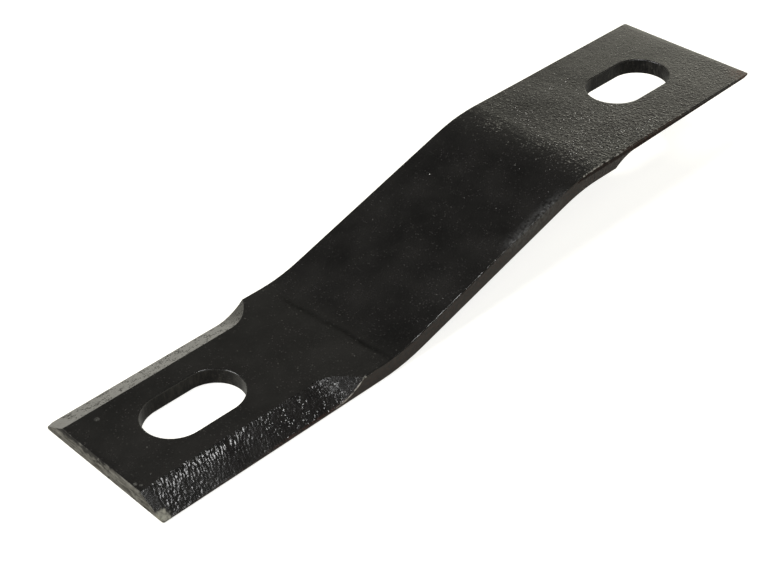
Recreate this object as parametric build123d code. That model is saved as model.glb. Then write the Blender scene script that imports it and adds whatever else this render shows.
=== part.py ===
from build123d import *
import os
from math import atan2, cos, radians, sin, tan

# Rotary slasher blade: one length of flat bar, cranked twice so that its two ends lie in parallel
# planes, with a bolt slot and a pair of ground cutting edges at each end. It can be turned end over
# end: the low end is ground on its top face, and the high end on its underside.
#
# Frame: X runs along the blade from the low end to the high end, Y across it, Z along the bolts.
# The origin is midway between the two slots, in the seating plane under the low end.

# Flat bar
bar_width = 80.0
bar_thickness = 8.0
edge_radius = 0.7  # rolled edges, all round both faces
corner_radius = 1.0  # the four sheared corners, seen from above

# Crank
blade_length = 380.0  # tip to tip along X
crank_offset = 35.0  # from one end's face up to the same face of the other end
end_length = 131.0  # from a tip to where the flat end and the slope would meet
inside_bend_radius = 80.0

# Bolt slots
slot_length = 49.0
slot_width = 29.5
slot_from_tip = 48.0  # from a tip to the slot's centre
slot_edge_radius = 0.5

# Ground edges
bevel_angle = 27.2  # slope of the ground face, in degrees
bevel_length = 91.5  # from a tip to where the cutter starts to run out
cutter_radius = 28.0  # the cutter's run-out
low_tip_land = 1.0  # edge thickness left at the low end's tip
low_heel_land = 1.4  # the same at the run-out
high_tip_land = 0.9
high_heel_land = 3.0

# Sizes that follow from these
half_length = blade_length / 2
half_width = bar_width / 2
bend_x = half_length - end_length
turn = atan2(crank_offset, 2 * bend_x)
bend_shift = bar_thickness / 2 * tan(turn / 2)
middle_height = (crank_offset + bar_thickness) / 2
slot_x = half_length - slot_from_tip
upright_limit = 0.01  # largest share of Z in an upright face's normal


def cranked_bar():
    """The bar's side profile, bent twice, pulled out to the bar's width."""
    underside = FilletPolyline(
        (-half_length, 0),
        (-bend_x + bend_shift, 0),
        (bend_x + bend_shift, crank_offset),
        (half_length, crank_offset),
        radius=[inside_bend_radius + bar_thickness, inside_bend_radius],
    )
    top = FilletPolyline(
        (-half_length, bar_thickness),
        (-bend_x - bend_shift, bar_thickness),
        (bend_x - bend_shift, crank_offset + bar_thickness),
        (half_length, crank_offset + bar_thickness),
        radius=[inside_bend_radius, inside_bend_radius + bar_thickness],
    )
    ends = [Line(underside @ 0, top @ 0), Line(underside @ 1, top @ 1)]
    profile = make_face([*underside.edges(), *top.edges(), *ends])
    return extrude(Plane.XZ * profile, amount=half_width, both=True)


def soften_outline(bar):
    """Rounds the four corners and then the rims of both faces."""
    bar = fillet(bar.edges().filter_by(Axis.Z), corner_radius)
    walls = [face for face in bar.faces() if abs(face.normal_at().Z) < upright_limit]
    wall_edges = ShapeList(edge for wall in walls for edge in wall.edges())
    return fillet(wall_edges.filter_by(Axis.Z, reverse=True), edge_radius)


def cut_slots(bar):
    """Cuts a bolt slot through each end and softens its rims."""
    outline = SlotOverall(slot_length, slot_width)
    for x, height in ((-slot_x, 0), (slot_x, crank_offset)):
        place = Pos(x, 0, height + bar_thickness / 2)
        slot = extrude(place * outline, amount=bar_thickness, both=True)
        rims = new_edges(bar, slot, combined=bar - slot)
        bar = fillet(rims, slot_edge_radius)
    return bar


def ground_edge(tip_land, heel_land):
    """What the cutter takes off one edge of the low end: a sloping flat that runs out in an arc."""
    slope = radians(bevel_angle)
    rise = (heel_land - tip_land) * cos(slope)
    run_up = Vector(bevel_length, rise)
    flat = Line(-run_up, run_up)
    run_out = JernArc(start=run_up, tangent=run_up, radius=cutter_radius, arc_size=90)
    above = Polyline(run_out @ 1, (-bevel_length, (run_out @ 1).Y), flat @ 0)
    section = make_face([flat, run_out, *above.edges()])
    across = Plane(
        origin=(-half_length, -half_width, tip_land),
        x_dir=(1, 0, 0),
        z_dir=(0, -cos(slope), -sin(slope)),
    )
    slope_length = bar_thickness / sin(slope)
    return extrude(across * section, amount=2 * slope_length, both=True)


def grind_edges(bar):
    """Grinds both long edges of each end, the low end from above and the high end from below."""
    end_over_end = Axis((0, 0, middle_height), (0, 1, 0))
    low_edge = ground_edge(low_tip_land, low_heel_land)
    high_edge = ground_edge(high_tip_land, high_heel_land).rotate(end_over_end, 180)
    for edge in (low_edge, high_edge):
        bar -= edge
        bar -= mirror(edge, about=Plane.XZ)
    return bar


os.makedirs("parts", exist_ok=True)
blade = grind_edges(cut_slots(soften_outline(cranked_bar())))
export_step(blade, "parts/slasher_blade.step")
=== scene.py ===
from math import cos, exp, radians, sin, sqrt
from random import Random

import bpy
from mathutils import Matrix, Vector, noise


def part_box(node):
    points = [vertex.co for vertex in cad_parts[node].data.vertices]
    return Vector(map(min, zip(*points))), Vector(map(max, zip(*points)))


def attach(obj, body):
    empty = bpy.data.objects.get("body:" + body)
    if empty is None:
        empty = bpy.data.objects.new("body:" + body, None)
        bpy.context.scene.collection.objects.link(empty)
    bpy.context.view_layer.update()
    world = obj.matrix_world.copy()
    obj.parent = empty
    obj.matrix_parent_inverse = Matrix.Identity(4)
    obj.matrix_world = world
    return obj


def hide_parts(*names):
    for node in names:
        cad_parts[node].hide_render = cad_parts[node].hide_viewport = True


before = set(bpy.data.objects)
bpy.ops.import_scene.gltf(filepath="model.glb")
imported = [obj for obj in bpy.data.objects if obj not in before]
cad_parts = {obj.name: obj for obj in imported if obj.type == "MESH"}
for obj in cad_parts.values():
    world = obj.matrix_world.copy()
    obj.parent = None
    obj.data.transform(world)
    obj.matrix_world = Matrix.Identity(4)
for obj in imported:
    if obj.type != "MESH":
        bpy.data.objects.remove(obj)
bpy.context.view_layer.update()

# Sizes, in metres
MM = 0.001
LOW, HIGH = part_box("slasher_blade")
HALF_LENGTH = HIGH.x
HALF_WIDTH = HIGH.y
THICKNESS = 8 * MM
TOP_HEIGHT = HIGH.z
BEVEL_SLOPE = radians(27.2)
BEVEL_WIDTH = 13.6 * MM
RUN_OUT_START = 91.5 * MM
RUN_OUT_END = 108.5 * MM
CUTTER_RADIUS = 28 * MM
HEEL_LAND = 1.4 * MM
SLOT_X = 142 * MM
SLOT_HALF_LENGTH = 26 * MM
SLOT_HALF_WIDTH = 16 * MM
SLOT_WALL_HALF_HEIGHT = 3.3 * MM
BEND_RIM = (60 * MM, 92 * MM)
DULL_STRIP = 2.6 * MM
DULL_STRIP_START = 56 * MM

# Mesh fineness
GRID_STEP = 2 * MM
LOW_GROUND_CUTS = 5
HIGH_GROUND_CUTS = 3
LOW_END_CUTS = 2
HIGH_END_CUTS = 1
MERGE_GAP = 0.001 * MM
FLAT_ANGLE = radians(0.2)
SHARP_ANGLE = radians(25)
RUN_OUT_ROUNDING = 0.3 * MM

# Roughness of the ground edges. The striations lean towards the tip on their way down the slope.
STRIATION_LEAN = 0.36
TOOTH_PITCH = 1.3 * MM
TOOTH_LENGTH = 3.2 * MM
SCRATCH_PITCH = 0.62 * MM
SCRATCH_LENGTH = 2.8 * MM
PIT_SIZE = 0.7 * MM

# Press mark across the lower bend, chips along the near rim, and tears in the end faces
CREASE_PLACE = -67.4 * MM
CREASE_SKEW = 0.06
CREASE_WANDER = 1.1 * MM
CREASE_WIDTH = 1.5 * MM
CREASE_DEPTH = 0.06 * MM
CHIP_DEPTH = 0.35 * MM
CHIP_LENGTH = 2.2 * MM
TORN_SIZE = 1.1 * MM
TORN_DEPTH = 0.22 * MM
DRAG_DEPTH = 0.1 * MM

# Corners knocked off: where each cut meets the side and the end, in mm
KNOCKED_CORNERS = (
    ((-186.6, 40), (-190, 38.3)),
    ((185.2, -40), (190, -38.7)),
    ((188.2, 40), (190, 38.2)),
)

# Sheared ends drawn down, and the high end's wavy top face
ROLL_OVER = 3 * MM
ROLL_OVER_DROP = 0.35 * MM
HIGH_END_SINK = 0.12 * MM
WAVE_LENGTH = 20 * MM

# Nibs of dirt in the paint: place on the top face and radius, in mm
NIBS = (
    (23.8, 23.6, 32.6, 0.42),
    (48.6, -8, 40.0, 0.19),
    (47.8, -11.4, 39.75, 0.17),
    (6.6, 30.9, 27.5, 0.17),
)

# Grains of grit in the high end's paint, coloured pale so that they stand as painted glints
GRAINS = 170
GRAIN_SEED = 4

# Smudges of dust on the paint: place and radius, in mm
SMUDGES = ((-188.4, -21.3, 8, 1.2), (-187.2, -23.6, 8, 0.9), (-176.3, 20.8, 8, 1.5))

# Colours of the paint, the rust under it and the steel, and the painted shade along the press mark
# Painted shade: near-black for the press mark across the lower bend
PAINTED_CREASE_SHADE = (0.001, 0.001, 0.001, 1)
DEEP_BLACK = (0.0088, 0.0085, 0.0082, 1)
WORN_BLACK = (0.0165, 0.0158, 0.015, 1)
DUST = (0.11, 0.108, 0.1, 1)
RUST = (0.055, 0.024, 0.016, 1)
BARE_STEEL = (0.27, 0.265, 0.22, 1)
TARNISHED_STEEL = (0.11, 0.107, 0.088, 1)
SHEARED_GREY = (0.05, 0.047, 0.041, 1)
TORN_GREY = (0.17, 0.165, 0.147, 1)
RUBBED_STEEL = (0.45, 0.44, 0.41, 1)
# Pale grey: real dirt on the nibs, and a painted glint on the grit grains
PALE_DIRT_AND_GLINT = (0.68, 0.67, 0.64, 1)
SCUFFED_GREY = (0.075, 0.075, 0.075, 1)

# Photograph's camera: place from the origin, and its right, down and forward directions
IMAGE_WIDTH = 774
FOCAL_PIXELS = 1564.15
SENSOR_WIDTH = 36.0
PICTURE_DROP = 0.8
CAMERA_PLACE = Vector((-419.51, -416.69, 438.42)) * MM
CAMERA_RIGHT = Vector((0.714747, -0.698833, -0.027722))
CAMERA_DOWN = Vector((-0.436501, -0.414769, -0.798394))
CAMERA_FORWARD = Vector((0.546446, 0.582751, -0.601496))

# Studio's colour, the floor, and its own glow as the camera sees it and as the paint mirrors it
WARM_WHITE = (1, 0.975, 0.83)
FLOOR_COLOUR = (0.62, 0.6, 0.51, 1)
FLOOR_SIZE = 12
FLOOR_GAP = 0.3 * MM
FLOOR_GLOW = 0.8
FLOOR_MIRRORED_GLOW = 0.36

# Studio's light by height: a band up to a horizon, dark and haze above it, and a window's direction
BAND_LEVEL = 0.55
BAND_EDGE = (radians(25), radians(31.7))
BAND_NEAR_SHARE = 0.25
DARK_LEVEL = 0.012
HAZE_LEVEL = 0.1
HAZE_EDGE = (radians(40), radians(50))
WINDOW_LEVEL = 1.2
WINDOW_MIDDLE = (0.863, 0.448, 0.232)
WINDOW_EDGE = (0.947, 0.969)


# Mesh tools

def pick(piece):
    """Leaves only this piece selected and active, in object mode."""
    bpy.ops.object.select_all(action="DESELECT")
    piece.select_set(True)
    bpy.context.view_layer.objects.active = piece


def slice_mesh(normal, places):
    """Cuts the whole mesh in edit mode by planes square to an axis."""
    for place in places:
        bpy.ops.mesh.select_all(action="SELECT")
        bpy.ops.mesh.bisect(plane_co=normal * place, plane_no=normal)


def select_faces(piece, wanted):
    """Selects the faces whose centre and normal pass a test, from object mode."""
    mesh = piece.data
    mesh.vertices.foreach_set("select", [False] * len(mesh.vertices))
    mesh.edges.foreach_set("select", [False] * len(mesh.edges))
    for face in mesh.polygons:
        face.select = wanted(face.center, face.normal)


def subdivide_faces(piece, wanted, low_cuts, high_cuts):
    """Splits the faces that pass a test into a finer grid, at the low end and then at the high end."""
    for end, cuts in ((-1, low_cuts), (1, high_cuts)):
        select_faces(piece, lambda centre, normal: end * centre.x > 0 and wanted(centre, normal))
        bpy.ops.object.mode_set(mode="EDIT")
        bpy.ops.mesh.subdivide(number_cuts=cuts, ngon=True)
        bpy.ops.object.mode_set(mode="OBJECT")


def places_and_normals(piece):
    """Every vertex's place, which can be moved, beside a copy of its normal before any move."""
    normals = [vertex.normal.copy() for vertex in piece.data.vertices]
    return zip([vertex.co for vertex in piece.data.vertices], normals)


def fade(value, start, stop):
    """Rises smoothly from 0 at start to 1 at stop, or falls where stop is the smaller."""
    share = min(1, max(0, (value - start) / (stop - start)))
    return share * share * (3 - 2 * share)


# Where things are on the blade

def is_ground(centre, normal):
    """True on a ground bevel and its run-out, whose normals are square to the bevel's slope."""
    if abs(centre.x) < HALF_LENGTH - RUN_OUT_END - MM or abs(normal.x) > 0.8:
        return False
    end = -1 if centre.x < 0 else 1
    side = 1 if centre.y > 0 else -1
    slope = Vector((0, -side * cos(BEVEL_SLOPE), -end * sin(BEVEL_SLOPE)))
    return abs(normal.dot(slope)) < 0.03 and abs(centre.y) > HALF_WIDTH - 16 * MM


def is_arc(centre, normal):
    """True on the rounded arc where the near run-out meets the side face."""
    past = HALF_LENGTH + centre.x - RUN_OUT_START
    if centre.y > -HALF_WIDTH + 0.6 * MM or not 0 < past < CUTTER_RADIUS or abs(normal.y) > 0.97:
        return False
    rise = CUTTER_RADIUS - sqrt(CUTTER_RADIUS ** 2 - past ** 2)
    return abs(centre.z - HEEL_LAND - rise / cos(BEVEL_SLOPE)) < 0.7 * MM


def is_rubbed_rim(centre, normal):
    """True on the rolled rim of the upper bend's near side."""
    rim = centre.y < -HALF_WIDTH + 0.75 * MM and 0.3 < normal.z < 0.985
    return rim and BEND_RIM[0] < centre.x < BEND_RIM[1]


def is_near_strip(centre, normal):
    """True on the top of the high end's near side, above its cutting edge."""
    near_side = centre.y < -HALF_WIDTH + 0.3 * MM and centre.x > DULL_STRIP_START
    return near_side and abs(normal.z) < 0.3 and centre.z > TOP_HEIGHT - DULL_STRIP


def is_in_slot(centre):
    """True in the block that just holds a bolt slot and its rims."""
    return abs(abs(centre.x) - SLOT_X) < SLOT_HALF_LENGTH and abs(centre.y) < SLOT_HALF_WIDTH


def is_slot_wall(centre, normal):
    """True on the walls of the two bolt slots, between their rolled rims."""
    middle = THICKNESS / 2 if centre.x < 0 else TOP_HEIGHT - THICKNESS / 2
    return is_in_slot(centre) and abs(centre.z - middle) < SLOT_WALL_HALF_HEIGHT


def is_slot_rim(centre, normal):
    """True on the rolled rims of the two bolt slots."""
    return is_in_slot(centre) and abs(normal.z) < 0.99


def is_end(centre, normal):
    """True on the sheared end faces, their rims and their rounded corners."""
    upright = abs(centre.x) > HALF_LENGTH - 3.2 * MM and abs(normal.z) < 0.3
    rim = abs(centre.x) > HALF_LENGTH - 0.75 * MM and abs(normal.z) < 0.97 and abs(normal.x) > 0.2
    return upright or rim


def is_wall(centre, normal):
    """True on the upright faces."""
    return abs(normal.z) < 0.3


# Blade

def blade_copy():
    """The blade's solid as one merged mesh, with its flat faces whole."""
    blade = bpy.data.objects.new("blade_skin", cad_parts["slasher_blade"].data.copy())
    bpy.context.scene.collection.objects.link(blade)
    pick(blade)
    bpy.ops.mesh.customdata_custom_splitnormals_clear()
    bpy.ops.object.mode_set(mode="EDIT")
    bpy.ops.mesh.select_all(action="SELECT")
    bpy.ops.mesh.remove_doubles(threshold=MERGE_GAP)
    bpy.ops.mesh.dissolve_limited(angle_limit=FLAT_ANGLE)
    bpy.ops.object.mode_set(mode="OBJECT")
    return blade


def knock_corners(blade):
    """Takes the points off the corners that have been knocked, by a plane each."""
    pick(blade)
    bpy.ops.object.mode_set(mode="EDIT")
    for side_place, end_place in KNOCKED_CORNERS:
        along = Vector((*end_place, 0)) - Vector((*side_place, 0))
        outward = along.cross(Vector((0, 0, 1)))
        if outward.dot(Vector((*side_place, 0))) < 0:
            outward = -outward
        bpy.ops.mesh.select_all(action="SELECT")
        bpy.ops.mesh.bisect(plane_co=Vector((*side_place, 0)) * MM, plane_no=outward.normalized(),
                            use_fill=True, clear_outer=True)
    bpy.ops.object.mode_set(mode="OBJECT")


def round_run_outs(blade):
    """Takes the sharpness off the arcs where the run-outs meet the side faces."""
    mesh = blade.data
    beside = {}
    for face in mesh.polygons:
        run_out = is_ground(face.center, face.normal) and abs(face.normal.x) > 0.05
        kind = "run_out" if run_out else "wall" if abs(face.normal.y) > 0.98 else "other"
        for key in face.edge_keys:
            beside.setdefault(key, set()).add(kind)
    select_faces(blade, lambda centre, normal: False)
    for edge in mesh.edges:
        edge.select = beside[edge.key] == {"run_out", "wall"}
    bpy.ops.object.mode_set(mode="EDIT")
    bpy.ops.mesh.select_mode(type="EDGE")
    bpy.ops.mesh.bevel(offset=RUN_OUT_ROUNDING, segments=2, affect="EDGES", clamp_overlap=True)
    bpy.ops.object.mode_set(mode="OBJECT")


def refine(blade):
    """Grids the faces, the ground edges and end faces more finely, and parts off the dull strip."""
    pick(blade)
    bpy.ops.object.mode_set(mode="EDIT")
    columns = round(HALF_LENGTH / GRID_STEP)
    rows = round(HALF_WIDTH / GRID_STEP)
    beside_bevel = int((HALF_WIDTH - BEVEL_WIDTH) / GRID_STEP)
    beside_ends = [GRID_STEP / 2 - HALF_LENGTH, HALF_LENGTH - GRID_STEP / 2]
    in_crease = [(0.75 * number - 74) * MM for number in range(15)]
    slice_mesh(Vector((1, 0, 0)), [number * GRID_STEP for number in range(1 - columns, columns)])
    slice_mesh(Vector((1, 0, 0)), beside_ends + in_crease)
    kept_rows = [number for number in range(1 - rows, rows) if abs(number) != beside_bevel]
    slice_mesh(Vector((0, 1, 0)), [number * GRID_STEP for number in kept_rows])
    bpy.ops.mesh.select_mode(type="FACE")
    bpy.ops.object.mode_set(mode="OBJECT")
    subdivide_faces(blade, is_ground, LOW_GROUND_CUTS, HIGH_GROUND_CUTS)
    for number in range(1, round(THICKNESS / MM)):
        for floor in (0, TOP_HEIGHT - THICKNESS):
            select_faces(blade, is_end)
            bpy.ops.object.mode_set(mode="EDIT")
            bpy.ops.mesh.bisect(plane_co=(0, 0, floor + number * MM), plane_no=(0, 0, 1))
            bpy.ops.object.mode_set(mode="OBJECT")
    subdivide_faces(blade, is_end, LOW_END_CUTS, HIGH_END_CUTS)
    select_faces(blade, lambda centre, normal: normal.y < -0.9 and centre.x > DULL_STRIP_START)
    bpy.ops.object.mode_set(mode="EDIT")
    bpy.ops.mesh.bisect(plane_co=(0, 0, TOP_HEIGHT - DULL_STRIP), plane_no=(0, 0, 1))
    bpy.ops.object.mode_set(mode="OBJECT")


def tooth_depth(from_tip, down):
    """Depth share of the coarse grinding teeth, which start at the bevel's inner line."""
    lengthwise = from_tip + STRIATION_LEAN * down
    ridge = noise.noise(Vector((lengthwise / TOOTH_PITCH, down / TOOTH_LENGTH, 3.7)))
    strength = fade(from_tip, 3 * MM, 7 * MM) * fade(from_tip, 66 * MM, 44 * MM)
    return strength * fade(down, 5.2 * MM, 1 * MM) * fade(ridge, -0.45, 0.5)


def scratch_depth(from_tip, down):
    """Depth share of the fine scratches down the bevel."""
    lengthwise = from_tip + STRIATION_LEAN * down
    ridge = noise.noise(Vector((lengthwise / SCRATCH_PITCH, down / SCRATCH_LENGTH, 8.2)))
    tip = 0.3 + 0.7 * fade(from_tip, 2 * MM, 6 * MM)
    heel = 0.25 + 0.75 * fade(from_tip, 72 * MM, 45 * MM)
    return tip * heel * (0.35 + 0.65 * fade(down, 12 * MM, 3 * MM)) * fade(ridge, -0.5, 0.55)


def pit_depth(from_tip, down, size, sparse):
    """Depth share of pits of a size, fewer where they are sparse."""
    cell = noise.noise(Vector((from_tip / size, down / size, 11.3)))
    broad = noise.noise(Vector((from_tip / size / 7, down / size / 7, 5.1)))
    return fade(cell + 0.45 * broad, sparse, sparse + 0.35)


def ground_depth(place):
    """How deep the marks are at a place on one of the four bevels, in metres."""
    from_tip = HALF_LENGTH - abs(place.x)
    down = (abs(place.y) - HALF_WIDTH + BEVEL_WIDTH) / cos(BEVEL_SLOPE)
    if place.x < 0 and place.y < 0:
        pitted = 0.3 + 0.7 * fade(from_tip, 45 * MM, 65 * MM)
        depth = 0.24 * tooth_depth(from_tip, down) + 0.13 * scratch_depth(from_tip, down)
        depth += 0.2 * pitted * pit_depth(from_tip, down, PIT_SIZE, 0.28)
        plain = 0.4 + 0.6 * fade(abs(from_tip - 47 * MM), 8 * MM, 22 * MM)
        depth += 0.08 * plain * pit_depth(from_tip, down, 0.55 * PIT_SIZE, 0.0)
    elif place.x < 0:
        inside = fade(down, 0.3 * MM, 1.5 * MM)
        depth = 0.02 * scratch_depth(from_tip, down)
        depth += 0.22 * inside * pit_depth(from_tip, down, 0.75 * PIT_SIZE, 0.33)
    else:
        depth = 0.06 * scratch_depth(from_tip, down) + 0.15 * pit_depth(from_tip, down, PIT_SIZE, 0.4)
    worn_tip = 0.12 + 0.88 * fade(from_tip, 2.5 * MM, 6 * MM)
    return depth * MM * worn_tip * fade(HALF_WIDTH - abs(place.y), 0, 1.0 * MM)


def roughen_ground_edges(blade):
    """Presses grinding marks and pits into the four ground edges, heaviest on the near one."""
    mesh = blade.data
    normals = {}
    for face in mesh.polygons:
        if is_ground(face.center, face.normal):
            for corner in face.vertices:
                normals[corner] = normals.get(corner, Vector()) + face.normal
    for corner, total in normals.items():
        place = mesh.vertices[corner].co
        normal = total.normalized()
        depth = ground_depth(place)
        above_low = place.x < 0 and place.z > THICKNESS - 0.01 * MM
        below_high = place.x > 0 and place.z < TOP_HEIGHT - THICKNESS + 0.01 * MM
        if above_low or below_high:
            sideways = Vector((normal.x, normal.y, 0))
            place -= sideways / sideways.length_squared * depth
        else:
            place -= normal * depth


def pit_ends(blade):
    """Presses torn pits and drag marks into the sheared end faces."""
    for vertex in blade.data.vertices:
        place = vertex.co
        if abs(place.x) < HALF_LENGTH - 0.01 * MM:
            continue
        torn = pit_depth(place.y, place.z, TORN_SIZE, 0.22)
        drag = fade(noise.noise(Vector((place.y / (7 * MM), place.z / (0.9 * MM), 2.2))), 0, 0.5)
        place.x -= (TORN_DEPTH * torn + DRAG_DEPTH * drag) * (1 if place.x > 0 else -1)


def crease_share(place):
    """How near a place is to the press mark across the lower bend, which runs slightly askew."""
    wander = CREASE_WANDER * noise.noise(Vector((0, place.y / (9 * MM), 4.4)))
    aside = (place.x - CREASE_PLACE + CREASE_SKEW * place.y + wander) / CREASE_WIDTH
    broken = 0.65 + 0.35 * fade(noise.noise(Vector((0, place.y / (5 * MM), 7.9))), -0.25, 0.3)
    ends = fade(place.y, 36 * MM, 16 * MM) * (0.5 + 0.5 * fade(place.y, -40 * MM, -30 * MM))
    return fade(place.z, 4 * MM, 6 * MM) * ends * broken * exp(-aside * aside)


def press_crease(blade):
    """Presses the mark across the lower bend into the top face."""
    for place, normal in places_and_normals(blade):
        if normal.z > 0.9:
            place.z -= CREASE_DEPTH * crease_share(place)


def roll_over_ends(blade):
    """Draws the top face down towards each sheared end."""
    for vertex in blade.data.vertices:
        place = vertex.co
        if place.x < 0 and abs(place.y) > HALF_WIDTH - BEVEL_WIDTH:
            continue
        floor = 0 if place.x < 0 else TOP_HEIGHT - THICKNESS
        reach = max(0, abs(place.x) - HALF_LENGTH + ROLL_OVER) / ROLL_OVER
        height = max(0, place.z - floor) / THICKNESS
        share = 1 if place.x < 0 else 0.55
        place.z -= share * ROLL_OVER_DROP * reach ** 2 * height ** 2


def sink_high_end(blade):
    """Leaves the high end's top face wavy and a little low, so that the grains of grit stand out of it."""
    for vertex in blade.data.vertices:
        place = vertex.co
        wave = noise.noise(Vector((place.x / WAVE_LENGTH, place.y / WAVE_LENGTH, 6.6)))
        place.z -= HIGH_END_SINK * (0.8 + 0.7 * wave) * fade(place.z, TOP_HEIGHT - 1.5 * MM, TOP_HEIGHT)


def chip_rim(blade):
    """Knocks the painted rim along the near side of the slope and upper bend back in rough chips."""
    for place, normal in places_and_normals(blade):
        rim = min(1, max(0, normal.z)) * min(1, max(0, -normal.y))
        if rim < 0.15 or place.y > -HALF_WIDTH + 1 * MM:
            continue
        along = fade(place.x, -64 * MM, -56 * MM) * fade(place.x, 90 * MM, 80 * MM)
        rough = noise.noise(Vector((place.x / CHIP_LENGTH, 0.3, 2.9)))
        place -= normal * along * CHIP_DEPTH * fade(rough, -0.2, 0.5)


def spot(place, centre, inner, outer):
    """1 within a distance of a centre given in mm, falling to 0 further out."""
    return fade((place - Vector(centre) * MM).length, outer * MM, inner * MM)


def bare_share(place):
    """How bare the steel is: the near tip's corner, and small knocks."""
    edge = noise.noise(place / (1.3 * MM)) * 1.0 * MM
    corner = fade((place - Vector((-188.3, -38, 1.9)) * MM).length + edge, 3.1 * MM, 2.2 * MM)
    far_knock = 0.4 * spot(place, (-190.5, 40, 1), 1.0, 4.0)
    return max(corner, far_knock)


def rust_share(place):
    """How rusty the paint is: the far tip, the side faces and the thin lands of the cutting edges."""
    far_tip = spot(place, (190, -40, 41), 4, 14)
    lands = 0.5 * fade(abs(place.y), HALF_WIDTH - 1.2 * MM, HALF_WIDTH - 0.2 * MM)
    lands *= fade(abs(place.x), 80 * MM, 95 * MM) * fade(abs(place.x), 150 * MM, 120 * MM)
    side = 0.3 * fade(abs(place.y), HALF_WIDTH - 0.2 * MM, HALF_WIDTH - 0.01 * MM)
    return max(far_tip, lands, side)


def scrape_share(place):
    """How scuffed the paint is: a strip of the slope's top face beside its near rim."""
    along = fade(place.x, 4 * MM, 14 * MM) * fade(place.x, 52 * MM, 38 * MM)
    upper = fade(place.z, 0.29 * place.x + 18 * MM, 0.29 * place.x + 21 * MM)
    return along * upper * fade(place.y, -34.5 * MM, -38.5 * MM)


def grit_share(place):
    """How much grit lies under the paint: most on the high end, beside the bend's near side."""
    bend = fade(place.x, 48 * MM, 74 * MM) * (0.6 + 0.4 * fade(place.x, 150 * MM, 85 * MM))
    near_side = 0.5 + 0.5 * fade(place.y, 15 * MM, -20 * MM)
    return max(bend * near_side, spot(place, (63, 21, 43), 3, 9))


def rolled_share(place):
    """How much paint is left on an end face: most along its top, where the shear rolled the edge over."""
    floor = 0 if place.x < 0 else TOP_HEIGHT - THICKNESS
    along = fade(place.y, -14 * MM, 4 * MM) if place.x < 0 else 1
    return along * fade(place.z - floor, 4.6 * MM, 6.8 * MM)


SHARES = {
    "bare_steel": bare_share,
    "rust": rust_share,
    "grit": grit_share,
    "scraped": scrape_share,
    # The press mark's share, which sets where its painted shade goes
    "crease": crease_share,
    "rolled": rolled_share,
}


def mark_wear_and_shade(blade):
    """Writes the shares of each kind of wear, and of the press mark's painted shade, on the mesh for the
    finishes to read.
    """
    mesh = blade.data
    for name, share in SHARES.items():
        layer = mesh.attributes.new(name, "FLOAT", "POINT")
        layer.data.foreach_set("value", [share(vertex.co) for vertex in mesh.vertices])


def paint_faces(blade):
    """Gives each face the finish of the first test that it passes, or else the glossy paint."""
    mesh = blade.data
    mesh.materials.clear()
    finishes = {
        is_ground: ground_edge_paint,
        is_end: sheared_end_paint,
        is_arc: worn_arc,
        is_rubbed_rim: rubbed_rim,
        is_near_strip: dull_strip_paint,
        is_slot_wall: slot_wall_paint,
        is_slot_rim: slot_rim_paint,
        is_wall: wall_paint,
    }
    mesh.materials.append(glossy_black_paint())
    for finish in finishes.values():
        mesh.materials.append(finish())
    for face in mesh.polygons:
        passed = [test(face.center, face.normal) for test in finishes]
        face.material_index = passed.index(True) + 1 if any(passed) else 0


def grains():
    """Grains of grit under the paint of the high end, thickest beside the bend's near side; their pale
    colour is a painted glint.
    """
    chance = Random(GRAIN_SEED)
    places = []
    while len(places) < GRAINS:
        x = chance.uniform(66, 125)
        y = chance.uniform(-38, 25)
        crowd = fade(noise.noise(Vector((x / 9, y / 9, 1.7))), -0.2, 0.3)
        if chance.random() < crowd * grit_share(Vector((x, y, 43)) * MM) ** 2:
            radius = chance.uniform(0.12, 0.26) * chance.choice((1, 1, 1, 1.35))
            places.append((x, y, 42.99 - 0.5 * radius, radius))
    return places


def add_nibs(blade):
    """Adds the few nibs of dirt and the grains of grit, sunk in the top face, in pale grey: real dirt on the
    nibs, a painted glint on the grains.
    """
    nibs = []
    dirt_and_glint = dirt_and_glint_grey()
    for x, y, z, radius in (*NIBS, *grains()):
        bpy.ops.mesh.primitive_ico_sphere_add(subdivisions=1, radius=radius * MM)
        nib = bpy.context.object
        bpy.ops.object.mode_set(mode="EDIT")
        bpy.ops.mesh.select_all(action="SELECT")
        bpy.ops.transform.resize(value=(1.2, 1.0, 0.5))
        bpy.ops.transform.translate(value=(x * MM, y * MM, z * MM))
        bpy.ops.object.mode_set(mode="OBJECT")
        nib.data.materials.append(dirt_and_glint)
        nibs.append(nib)
    pick(blade)
    for nib in nibs:
        nib.select_set(True)
    bpy.ops.object.join()


def keep_inside(blade):
    """Keeps every vertex inside the solid's box."""
    for vertex in blade.data.vertices:
        for axis in range(3):
            vertex.co[axis] = min(HIGH[axis], max(LOW[axis], vertex.co[axis]))


def shade_blade(blade):
    """Shades the rolled rims smooth and the bevels' outlines sharp, with the flat faces kept flat."""
    pick(blade)
    bpy.ops.object.shade_smooth_by_angle(angle=SHARP_ANGLE)
    mesh = blade.data
    finishes = {}
    for face in mesh.polygons:
        for key in face.edge_keys:
            finishes.setdefault(key, set()).add(mesh.materials[face.material_index].name)
    for edge in mesh.edges:
        beside = finishes[edge.key]
        if "ground_edge_paint" in beside and "glossy_black_paint" in beside:
            edge.use_edge_sharp = True
        elif "slot_rim_paint" in beside:
            edge.use_edge_sharp = False
    bpy.ops.object.modifier_add(type="WEIGHTED_NORMAL")
    blade.modifiers[0].keep_sharp = True
    bpy.ops.object.modifier_apply(modifier=blade.modifiers[0].name)


def make_blade():
    blade = blade_copy()
    knock_corners(blade)
    round_run_outs(blade)
    refine(blade)
    paint_faces(blade)
    mark_wear_and_shade(blade)
    press_crease(blade)
    sink_high_end(blade)
    chip_rim(blade)
    roughen_ground_edges(blade)
    pit_ends(blade)
    roll_over_ends(blade)
    add_nibs(blade)
    keep_inside(blade)
    shade_blade(blade)
    return blade


# Finishes

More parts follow.
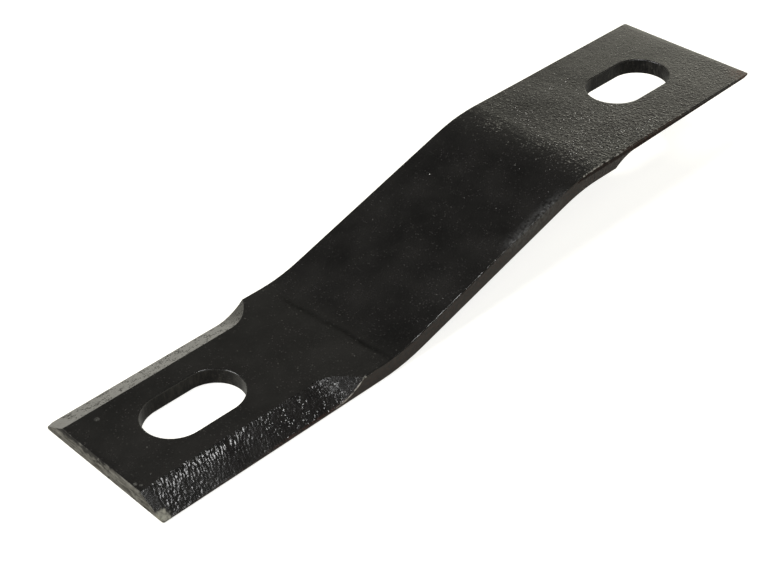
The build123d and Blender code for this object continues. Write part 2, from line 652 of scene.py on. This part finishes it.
class Finish:
    """A painted surface's material while its nodes are put together."""

    def __init__(self, name):
        self.material = bpy.data.materials.new(name)
        self.material.use_nodes = True
        self.nodes = self.material.node_tree.nodes
        self.links = self.material.node_tree.links
        self.shader = self.nodes["Principled BSDF"]
        self.place = self.nodes.new("ShaderNodeTexCoord").outputs["Object"]

    def put(self, value, socket):
        """Links an output to a socket, or sets the socket to a plain value."""
        if isinstance(value, bpy.types.NodeSocket):
            self.links.new(value, socket)
        else:
            socket.default_value = value

    def noise(self, size, detail=2.0, stretch=(1, 1, 1)):
        """Noise with marks of a size in metres, drawn out along the axes by the stretch."""
        shrink = self.nodes.new("ShaderNodeVectorMath")
        shrink.operation = "DIVIDE"
        self.put(self.place, shrink.inputs[0])
        shrink.inputs[1].default_value = [size * share for share in stretch]
        node = self.nodes.new("ShaderNodeTexNoise")
        node.inputs["Scale"].default_value = 1
        node.inputs["Detail"].default_value = detail
        self.put(shrink.outputs[0], node.inputs["Vector"])
        return node.outputs["Fac"]

    def dots(self, size, edge, core, rare, sure=1.0, most=1.0, smooth=False):
        """Dots scattered a size apart, gone at their edge and full at their core.

        Each has a chance number of its own: it is missing up to rare, and as strong as most from sure on.
        """
        node = self.nodes.new("ShaderNodeTexVoronoi")
        node.inputs["Scale"].default_value = 1 / size
        self.put(self.place, node.inputs["Vector"])
        chance = self.nodes.new("ShaderNodeSeparateColor")
        self.put(node.outputs["Color"], chance.inputs[0])
        strength = self.ramp(chance.outputs[0], rare, sure, 0.0, most)
        return self.sum("MULTIPLY", self.ramp(node.outputs["Distance"], edge, core, smooth=smooth), strength)

    def near(self, x, y, z, radius):
        """1 at a place given in mm, falling to 0 at the radius."""
        node = self.nodes.new("ShaderNodeVectorMath")
        node.operation = "DISTANCE"
        self.put(self.place, node.inputs[0])
        node.inputs[1].default_value = (x * MM, y * MM, z * MM)
        return self.ramp(node.outputs["Value"], radius * MM, 0.4 * radius * MM, smooth=True)

    def share(self, name):
        """A share written on the mesh."""
        node = self.nodes.new("ShaderNodeAttribute")
        node.attribute_name = name
        return node.outputs["Fac"]

    def ramp(self, value, start, stop, low=0.0, high=1.0, smooth=False):
        """Carries a value from between start and stop to between low and high."""
        node = self.nodes.new("ShaderNodeMapRange")
        node.interpolation_type = "SMOOTHSTEP" if smooth else "LINEAR"
        for socket, number in zip(node.inputs, (value, start, stop, low, high)):
            self.put(number, socket)
        return node.outputs[0]

    def sum(self, operation, one, other):
        """Two values combined by a named operation."""
        node = self.nodes.new("ShaderNodeMath")
        node.operation = operation
        self.put(one, node.inputs[0])
        self.put(other, node.inputs[1])
        return node.outputs[0]

    def blend(self, share, one, other):
        """A colour between two colours."""
        node = self.nodes.new("ShaderNodeMix")
        node.data_type = "RGBA"
        self.put(share, node.inputs["Factor"])
        self.put(one, node.inputs["A"])
        self.put(other, node.inputs["B"])
        return node.outputs["Result"]

    def height(self, millimetres):
        """Raises the surface's shading by a height in millimetres."""
        bump = self.nodes.new("ShaderNodeBump")
        bump.inputs["Distance"].default_value = MM
        self.put(millimetres, bump.inputs["Height"])
        self.put(bump.outputs["Normal"], self.shader.inputs["Normal"])


def dusty_and_crease_shaded_colour(finish, colour):
    """The paint's colour, blackened along the press mark as painted shade, with fine dust, specks and grit's
    own dust.
    """
    # Painted shade: the press mark is blackened, as if shaded
    crease_shade = finish.sum("MULTIPLY", finish.share("crease"), 0.7)
    colour = finish.blend(crease_shade, colour, PAINTED_CREASE_SHADE)
    fine_dust = finish.dots(1.15 * MM, 0.42, 0.12, rare=0.45, most=0.3)
    dusty = finish.ramp(finish.noise(11 * MM, 3), 0.4, 0.62, 0.3, 1.0)
    colour = finish.blend(finish.sum("MULTIPLY", fine_dust, dusty), colour, DUST)
    specks = finish.dots(9 * MM, 0.05, 0.025, rare=0.68, sure=0.72)
    colour = finish.blend(finish.sum("MULTIPLY", specks, 0.7), colour, DUST)
    gritty = finish.dots(1.6 * MM, 0.4, 0.15, rare=0.5, most=0.75)
    return finish.blend(finish.sum("MULTIPLY", gritty, finish.share("grit")), colour, DUST)


def worn_paint(finish, colour, gloss):
    """The colour with rust, scuffs and bare steel by share, and the roughness that goes with it."""
    rust_patches = finish.ramp(finish.noise(1.6 * MM, 3), 0.35, 0.6)
    rust = finish.sum("MULTIPLY", finish.share("rust"), rust_patches)
    colour = finish.blend(rust, colour, RUST)
    scrapes = finish.ramp(finish.noise(1.5 * MM, 4), 0.35, 0.68)
    scraped = finish.sum("MULTIPLY", finish.share("scraped"), finish.sum("MULTIPLY", scrapes, 0.85))
    colour = finish.blend(scraped, colour, SCUFFED_GREY)
    bare = finish.share("bare_steel")
    tarnish = finish.ramp(finish.noise(1.1 * MM, 4), 0.35, 0.65)
    colour = finish.blend(bare, colour, finish.blend(tarnish, BARE_STEEL, TARNISHED_STEEL))
    uneven = finish.ramp(finish.noise(14 * MM, 3), 0.3, 0.7, gloss - 0.03, gloss + 0.05)
    matt = finish.sum("MAXIMUM", finish.sum("MULTIPLY", rust, 0.5), finish.sum("MULTIPLY", scraped, 0.5))
    worn = finish.sum("MAXIMUM", matt, finish.sum("MULTIPLY", bare, 0.6))
    return colour, finish.sum("MAXIMUM", uneven, worn)


def paint_relief(finish, grain_size, grain_height, peel_height, grit_height):
    """Height of the paint in mm: its grain and orange peel, and grit by share."""
    grit = finish.share("grit")
    calm = finish.ramp(grit, 0, 0.3, 0.4, 1.0)
    grain = finish.sum("MULTIPLY", finish.noise(grain_size, 3), finish.sum("MULTIPLY", calm, grain_height))
    peel = finish.sum("MULTIPLY", finish.noise(4.5 * MM, 3), finish.sum("MULTIPLY", calm, peel_height))
    knobs = finish.dots(1.5 * MM, 0.5, 0.05, rare=0.5, smooth=True)
    knobs = finish.sum("MULTIPLY", knobs, finish.ramp(grit, 0.35, 1.0, 0.03, 0.3))
    coarse = finish.sum("MULTIPLY", finish.noise(1.4 * MM, 3), finish.ramp(grit, 0.2, 1.0, 0.03, 0.18))
    lumps = finish.dots(0.95 * MM, 0.45, 0.0, rare=finish.ramp(grit, 0, 1, 0.95, 0.65), smooth=True)
    lumps = finish.sum("MULTIPLY", lumps, finish.ramp(grit, 0, 1, 0.3 * grit_height, grit_height))
    fine = finish.sum("ADD", finish.sum("ADD", grain, peel), finish.sum("ADD", coarse, knobs))
    return finish.sum("ADD", fine, lumps)


def painted_steel(finish, colour, gloss, grain_size, grain_height, peel_height, grit_height):
    """Black paint over steel, dusty and worn, with painted shade in the press mark, and with its heights in
    mm.
    """
    colour, roughness = worn_paint(finish, dusty_and_crease_shaded_colour(finish, colour), gloss)
    finish.put(colour, finish.shader.inputs["Base Color"])
    finish.put(roughness, finish.shader.inputs["Roughness"])
    finish.height(paint_relief(finish, grain_size, grain_height, peel_height, grit_height))
    return finish.material


def two_blacks(finish, size):
    """Deep and worn black in clouds of a size."""
    return finish.blend(finish.ramp(finish.noise(size, 4), 0.3, 0.7), DEEP_BLACK, WORN_BLACK)


def glossy_black_paint():
    finish = Finish("glossy_black_paint")
    colour = two_blacks(finish, 18 * MM)
    patches = finish.ramp(finish.noise(0.8 * MM, 3), 0.35, 0.65, 0.1, 0.8)
    for smudge in SMUDGES:
        colour = finish.blend(finish.sum("MULTIPLY", finish.near(*smudge), patches), colour, DUST)
    return painted_steel(finish, colour, 0.13, 0.5 * MM, 0.05, 0.06, 0.42)


def ground_edge_paint():
    finish = Finish("ground_edge_paint")
    return painted_steel(finish, two_blacks(finish, 4 * MM), 0.2, 0.5 * MM, 0.06, 0.05, 0.4)


def wall_paint():
    finish = Finish("wall_paint")
    finish.shader.inputs["Specular IOR Level"].default_value = 0.17
    return painted_steel(finish, two_blacks(finish, 3 * MM), 0.4, 0.7 * MM, 0.1, 0.1, 0.2)


def worn_arc():
    finish = Finish("worn_arc")
    finish.shader.inputs["Metallic"].default_value = 0.6
    patches = finish.ramp(finish.noise(1.6 * MM, 3), 0.4, 0.55)
    colour = finish.blend(patches, WORN_BLACK, RUBBED_STEEL)
    return painted_steel(finish, colour, 0.35, 0.5 * MM, 0.05, 0.05, 0.1)


def rubbed_rim():
    finish = Finish("rubbed_rim")
    finish.shader.inputs["Metallic"].default_value = 0.4
    patches = finish.ramp(finish.noise(1.8 * MM, 3), 0.4, 0.6)
    colour = finish.blend(patches, WORN_BLACK, RUBBED_STEEL)
    return painted_steel(finish, colour, 0.4, 0.5 * MM, 0.05, 0.05, 0.1)


def dull_strip_paint():
    finish = Finish("dull_strip_paint")
    finish.shader.inputs["Specular IOR Level"].default_value = 0.03
    return painted_steel(finish, two_blacks(finish, 3 * MM), 0.5, 0.7 * MM, 0.1, 0.1, 0.2)


def slot_wall_paint():
    finish = Finish("slot_wall_paint")
    finish.shader.inputs["Specular IOR Level"].default_value = 0.09
    streaks = finish.ramp(finish.noise(1.4 * MM, 3, (1, 1, 4)), 0.45, 0.7, 0.0, 0.45)
    colour = finish.blend(streaks, DEEP_BLACK, SHEARED_GREY)
    return painted_steel(finish, colour, 0.36, 0.7 * MM, 0.1, 0.1, 0.2)


def slot_rim_paint():
    finish = Finish("slot_rim_paint")
    return painted_steel(finish, two_blacks(finish, 3 * MM), 0.16, 0.5 * MM, 0.02, 0.02, 0.02)


# Pale grey finish: real dirt on the nibs, and a painted glint on the grit grains
def dirt_and_glint_grey():
    finish = Finish("dirt_and_glint_grey")
    colour = finish.blend(finish.ramp(finish.noise(2 * MM, 2), 0.3, 0.6), DUST, PALE_DIRT_AND_GLINT)
    finish.put(colour, finish.shader.inputs["Base Color"])
    finish.put(0.3, finish.shader.inputs["Roughness"])
    return finish.material


def sheared_end_paint():
    finish = Finish("sheared_end_paint")
    finish.shader.inputs["Specular IOR Level"].default_value = 0.03
    streaks = finish.ramp(finish.noise(1.3 * MM, 4, (1, 5, 1)), 0.35, 0.65)
    colour = finish.blend(streaks, SHEARED_GREY, TORN_GREY)
    left_over = finish.sum("MULTIPLY", finish.share("rolled"), 0.24)
    cloudy = finish.sum("ADD", finish.noise(1.9 * MM, 4, (1, 1.6, 1)), left_over)
    blotches = finish.ramp(cloudy, 0.56, 0.68)
    colour = finish.blend(finish.sum("MULTIPLY", blotches, 0.85), colour, DEEP_BLACK)
    return painted_steel(finish, colour, 0.45, 1.6 * MM, 0.3, 0.2, 0.2)


# Stage, light and camera

def make_floor():
    bpy.ops.mesh.primitive_plane_add(size=FLOOR_SIZE, location=(0, 0, -FLOOR_GAP))
    floor = bpy.context.object
    floor.name = "floor"
    finish = bpy.data.materials.new("floor_white")
    finish.use_nodes = True
    nodes, links = finish.node_tree.nodes, finish.node_tree.links
    nodes.clear()
    output = nodes.new("ShaderNodeOutputMaterial")
    total = nodes.new("ShaderNodeAddShader")
    matt = nodes.new("ShaderNodeBsdfDiffuse")
    matt.inputs["Color"].default_value = FLOOR_COLOUR
    glow = nodes.new("ShaderNodeEmission")
    rays = nodes.new("ShaderNodeLightPath")
    seen = nodes.new("ShaderNodeMath")
    seen.operation = "MULTIPLY_ADD"
    seen.inputs[1].default_value = FLOOR_GLOW - FLOOR_MIRRORED_GLOW
    mirrored = nodes.new("ShaderNodeMath")
    mirrored.operation = "MULTIPLY"
    mirrored.inputs[1].default_value = FLOOR_MIRRORED_GLOW
    either = nodes.new("ShaderNodeMath")
    either.operation = "ADD"
    either.use_clamp = True
    links.new(rays.outputs["Is Camera Ray"], either.inputs[0])
    links.new(rays.outputs["Is Glossy Ray"], either.inputs[1])
    links.new(either.outputs[0], mirrored.inputs[0])
    links.new(rays.outputs["Is Camera Ray"], seen.inputs[0])
    links.new(mirrored.outputs[0], seen.inputs[2])
    links.new(seen.outputs[0], glow.inputs["Strength"])
    links.new(matt.outputs[0], total.inputs[0])
    links.new(glow.outputs[0], total.inputs[1])
    links.new(total.outputs[0], output.inputs["Surface"])
    floor.data.materials.append(finish)


def make_world():
    """A white studio up to a low horizon, with a brighter round window behind the far end.

    It is dark above, and dim behind the near end. The camera sees plain white.
    """
    world = bpy.data.worlds.new("studio")
    bpy.context.scene.world = world
    world.use_nodes = True
    nodes, links = world.node_tree.nodes, world.node_tree.links
    nodes.clear()
    place = nodes.new("ShaderNodeTexCoord").outputs["Generated"]

    def along(direction):
        node = nodes.new("ShaderNodeVectorMath")
        node.operation = "DOT_PRODUCT"
        node.inputs[1].default_value = direction
        links.new(place, node.inputs[0])
        return node.outputs["Value"]

    def ramp(value, start, stop, low, high):
        node = nodes.new("ShaderNodeMapRange")
        links.new(value, node.inputs["Value"])
        node.inputs["From Min"].default_value = start
        node.inputs["From Max"].default_value = stop
        node.inputs["To Min"].default_value = low
        node.inputs["To Max"].default_value = high
        return node.outputs[0]

    def sum_of(operation, one, other):
        node = nodes.new("ShaderNodeMath")
        node.operation = operation
        links.new(one, node.inputs[0])
        links.new(other, node.inputs[1])
        return node.outputs[0]

    band = ramp(along((0, 0, 1)), *map(sin, BAND_EDGE), BAND_LEVEL, DARK_LEVEL)
    haze = ramp(along((0, 0, 1)), *map(sin, HAZE_EDGE), HAZE_LEVEL, 0)
    window = ramp(along(WINDOW_MIDDLE), *WINDOW_EDGE, 0, WINDOW_LEVEL)
    lit = ramp(along((1, 0, 0)), -0.6, -0.2, BAND_NEAR_SHARE, 1)
    around = sum_of("ADD", sum_of("MULTIPLY", band, lit), haze)
    level = sum_of("ADD", around, window)
    sky = nodes.new("ShaderNodeBackground")
    sky.inputs["Color"].default_value = (*WARM_WHITE, 1)
    links.new(level, sky.inputs["Strength"])
    backdrop = nodes.new("ShaderNodeBackground")
    backdrop.inputs["Color"].default_value = (1, 1, 1, 1)
    rays = nodes.new("ShaderNodeLightPath")
    mix = nodes.new("ShaderNodeMixShader")
    output = nodes.new("ShaderNodeOutputWorld")
    links.new(rays.outputs["Is Camera Ray"], mix.inputs[0])
    links.new(sky.outputs[0], mix.inputs[1])
    links.new(backdrop.outputs[0], mix.inputs[2])
    links.new(mix.outputs[0], output.inputs["Surface"])


def make_lamp(name, direction, distance, size, power):
    """A square soft lamp that looks at the blade's middle, in metres and watts."""
    data = bpy.data.lights.new(name, "AREA")
    data.shape = "SQUARE"
    data.size = size
    data.energy = power
    lamp = bpy.data.objects.new(name, data)
    bpy.context.scene.collection.objects.link(lamp)
    aim = Vector(direction).normalized()
    lamp.location = Vector((0, 0, TOP_HEIGHT / 2)) + aim * distance
    lamp.rotation_euler = aim.to_track_quat("Z", "Y").to_euler()


def make_camera():
    data = bpy.data.cameras.new("camera")
    data.sensor_fit = "HORIZONTAL"
    data.sensor_width = SENSOR_WIDTH
    data.lens = FOCAL_PIXELS * SENSOR_WIDTH / IMAGE_WIDTH
    data.shift_y = PICTURE_DROP / IMAGE_WIDTH
    data.clip_start = 0.01
    camera = bpy.data.objects.new("camera", data)
    bpy.context.scene.collection.objects.link(camera)
    turn = Matrix((CAMERA_RIGHT, -CAMERA_DOWN, -CAMERA_FORWARD)).transposed()
    camera.matrix_world = Matrix.Translation(CAMERA_PLACE) @ turn.to_4x4()
    bpy.context.scene.camera = camera


blade = make_blade()
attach(blade, "root")
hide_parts("slasher_blade")

make_floor()
make_world()
make_lamp("top_lamp", (0.05, -0.05, 1), 1.2, 0.24, 4.2)
make_lamp("left_lamp", (-0.75, 0.35, 0.6), 1.8, 1.0, 29)
make_lamp("front_lamp", (-0.3, -0.6, 0.75), 1.8, 1.0, 6)
make_camera()
bpy.context.scene.view_settings.view_transform = "Standard"
